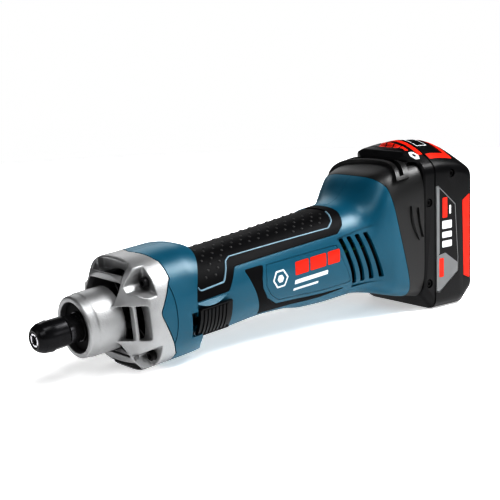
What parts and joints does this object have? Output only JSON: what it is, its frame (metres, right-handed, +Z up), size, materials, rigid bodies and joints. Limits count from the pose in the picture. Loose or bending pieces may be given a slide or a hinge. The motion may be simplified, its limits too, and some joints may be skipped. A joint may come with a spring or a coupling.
{
  "type": "cordless die grinder",
  "caption": "Straight-spindle cordless die grinder with a clamping collar, thumb slide, rubber grip and a slide-on battery pack.",
  "frame": {"origin": "middle of the whole tool's box at the surface it stands on", "axes": "+X from the collet nut to the battery, +Y to the tool's right-hand side, +Z up; the spindle slopes down 5.5 degrees towards the nose"},
  "size_m": [0.369, 0.0772, 0.1294],
  "materials": {
    "black_plastic": "fine moulded grain",
    "black_rubber": "matt",
    "blackened_steel": "blackened",
    "blue_plastic": "fine moulded grain",
    "carbon": "matt",
    "cast_aluminium": "satin as-cast",
    "cell_sleeve": "printed sleeve",
    "circuit_board": "solder mask",
    "copper": "enamelled wire",
    "ferrite": "sintered",
    "grey_plastic": "satin",
    "ground_steel": "ground",
    "laminated_steel": "rolled",
    "red_plastic": "satin",
    "screw_steel": "black oxide"
  },
  "bodies": {
    "housing": {"front_bearing_outer_ring": "ground_steel", "rear_bearing": "ground_steel", "dust_seal": "black_rubber", "bearing_retainer": "blackened_steel", "front_flange": "cast_aluminium", "flange_screw_1": "screw_steel", "flange_screw_2": "screw_steel", "flange_screw_3": "screw_steel", "flange_screw_4": "screw_steel", "housing_left": "blue_plastic", "housing_right": "blue_plastic", "housing_screw_1": "screw_steel", "housing_screw_2": "screw_steel", "housing_screw_3": "screw_steel", "grip_left": "black_rubber", "grip_right": "black_rubber", "nameplate_left": "blue_plastic", "side_inlay_left": "black_rubber", "nameplate_right": "blue_plastic", "side_inlay_right": "black_rubber", "tail_ring": "black_rubber", "switch_module": "black_plastic", "control_board": "circuit_board", "motor_lead_red": "red_plastic", "motor_lead_black": "black_plastic", "motor_can": "laminated_steel", "magnet_left": "ferrite", "magnet_right": "ferrite", "brush_carrier": "black_plastic", "brush_left": "carbon", "brush_right": "carbon", "terminal_block": "black_plastic"},
    "rotor": {"spindle": "ground_steel", "front_bearing_inner_ring": "ground_steel", "armature_core": "laminated_steel", "winding_front": "copper", "winding_rear": "copper", "commutator": "copper", "cooling_fan": "black_plastic"},
    "bearing_cage": {"front_bearing_balls": "ground_steel"},
    "collet": {"collet": "ground_steel"},
    "nut": {"collet_nut": "blackened_steel"},
    "switch": {"switch_slide": "black_plastic", "switch_rod": "black_plastic"},
    "battery": {"pack_rear_case": "black_plastic", "pack_front_case": "black_plastic", "pack_screw_left_1": "screw_steel", "pack_screw_right_1": "screw_steel", "pack_screw_left_2": "screw_steel", "pack_screw_right_2": "screw_steel", "pack_label_left": "grey_plastic", "pack_label_right": "grey_plastic", "pack_strip_left": "red_plastic", "pack_strip_right": "red_plastic", "latch_spring": "ground_steel", "cell_row_front": "cell_sleeve", "cell_row_rear": "cell_sleeve", "pack_board": "circuit_board"},
    "release_button": {"release_button": "red_plastic"},
    "gauge_button": {"gauge_button": "black_plastic"}
  },
  "joints": [
    {"name": "spindle_spin", "type": "hinge", "parent": "housing", "child": "rotor", "pos_m": [-0.1839, 0, 0.031], "axis": [0.9954, 0, 0.0958], "continuous": true},
    {"name": "bearing_cage_spin", "type": "hinge", "parent": "housing", "child": "bearing_cage", "pos_m": [-0.1839, 0, 0.031], "axis": [0.9954, 0, 0.0958], "continuous": true},
    {"name": "collet_advance", "type": "slide", "parent": "rotor", "child": "collet", "axis": [-0.9954, 0, -0.0958], "range_m": [0, 0.002]},
    {"name": "nut_turn", "type": "hinge", "parent": "collet", "child": "nut", "pos_m": [-0.1839, 0, 0.031], "axis": [-0.9954, 0, -0.0958], "range_deg": [0, 720]},
    {"name": "thumb_slide", "type": "slide", "parent": "housing", "child": "switch", "axis": [-0.9954, 0, -0.0958], "range_m": [0, 0.0075], "stiffness_N_per_m": 400},
    {"name": "battery_slide", "type": "slide", "parent": "housing", "child": "battery", "axis": [0, 0, 1], "range_m": [0, 0.09]},
    {"name": "release_press", "type": "slide", "parent": "battery", "child": "release_button", "axis": [0, 0, -1], "range_m": [0, 0.003], "stiffness_N_per_m": 800, "deforming": ["latch_spring"]},
    {"name": "gauge_press", "type": "slide", "parent": "release_button", "child": "gauge_button", "axis": [0, 0, -1], "range_m": [0, 0.001], "stiffness_N_per_m": 600}
  ],
  "couplings": [
    {"joint": "bearing_cage_spin", "follows": "spindle_spin", "ratio": 0.4021},
    {"joint": "nut_turn", "follows": "collet_advance", "rad_per_m": 6283.2}
  ]
}
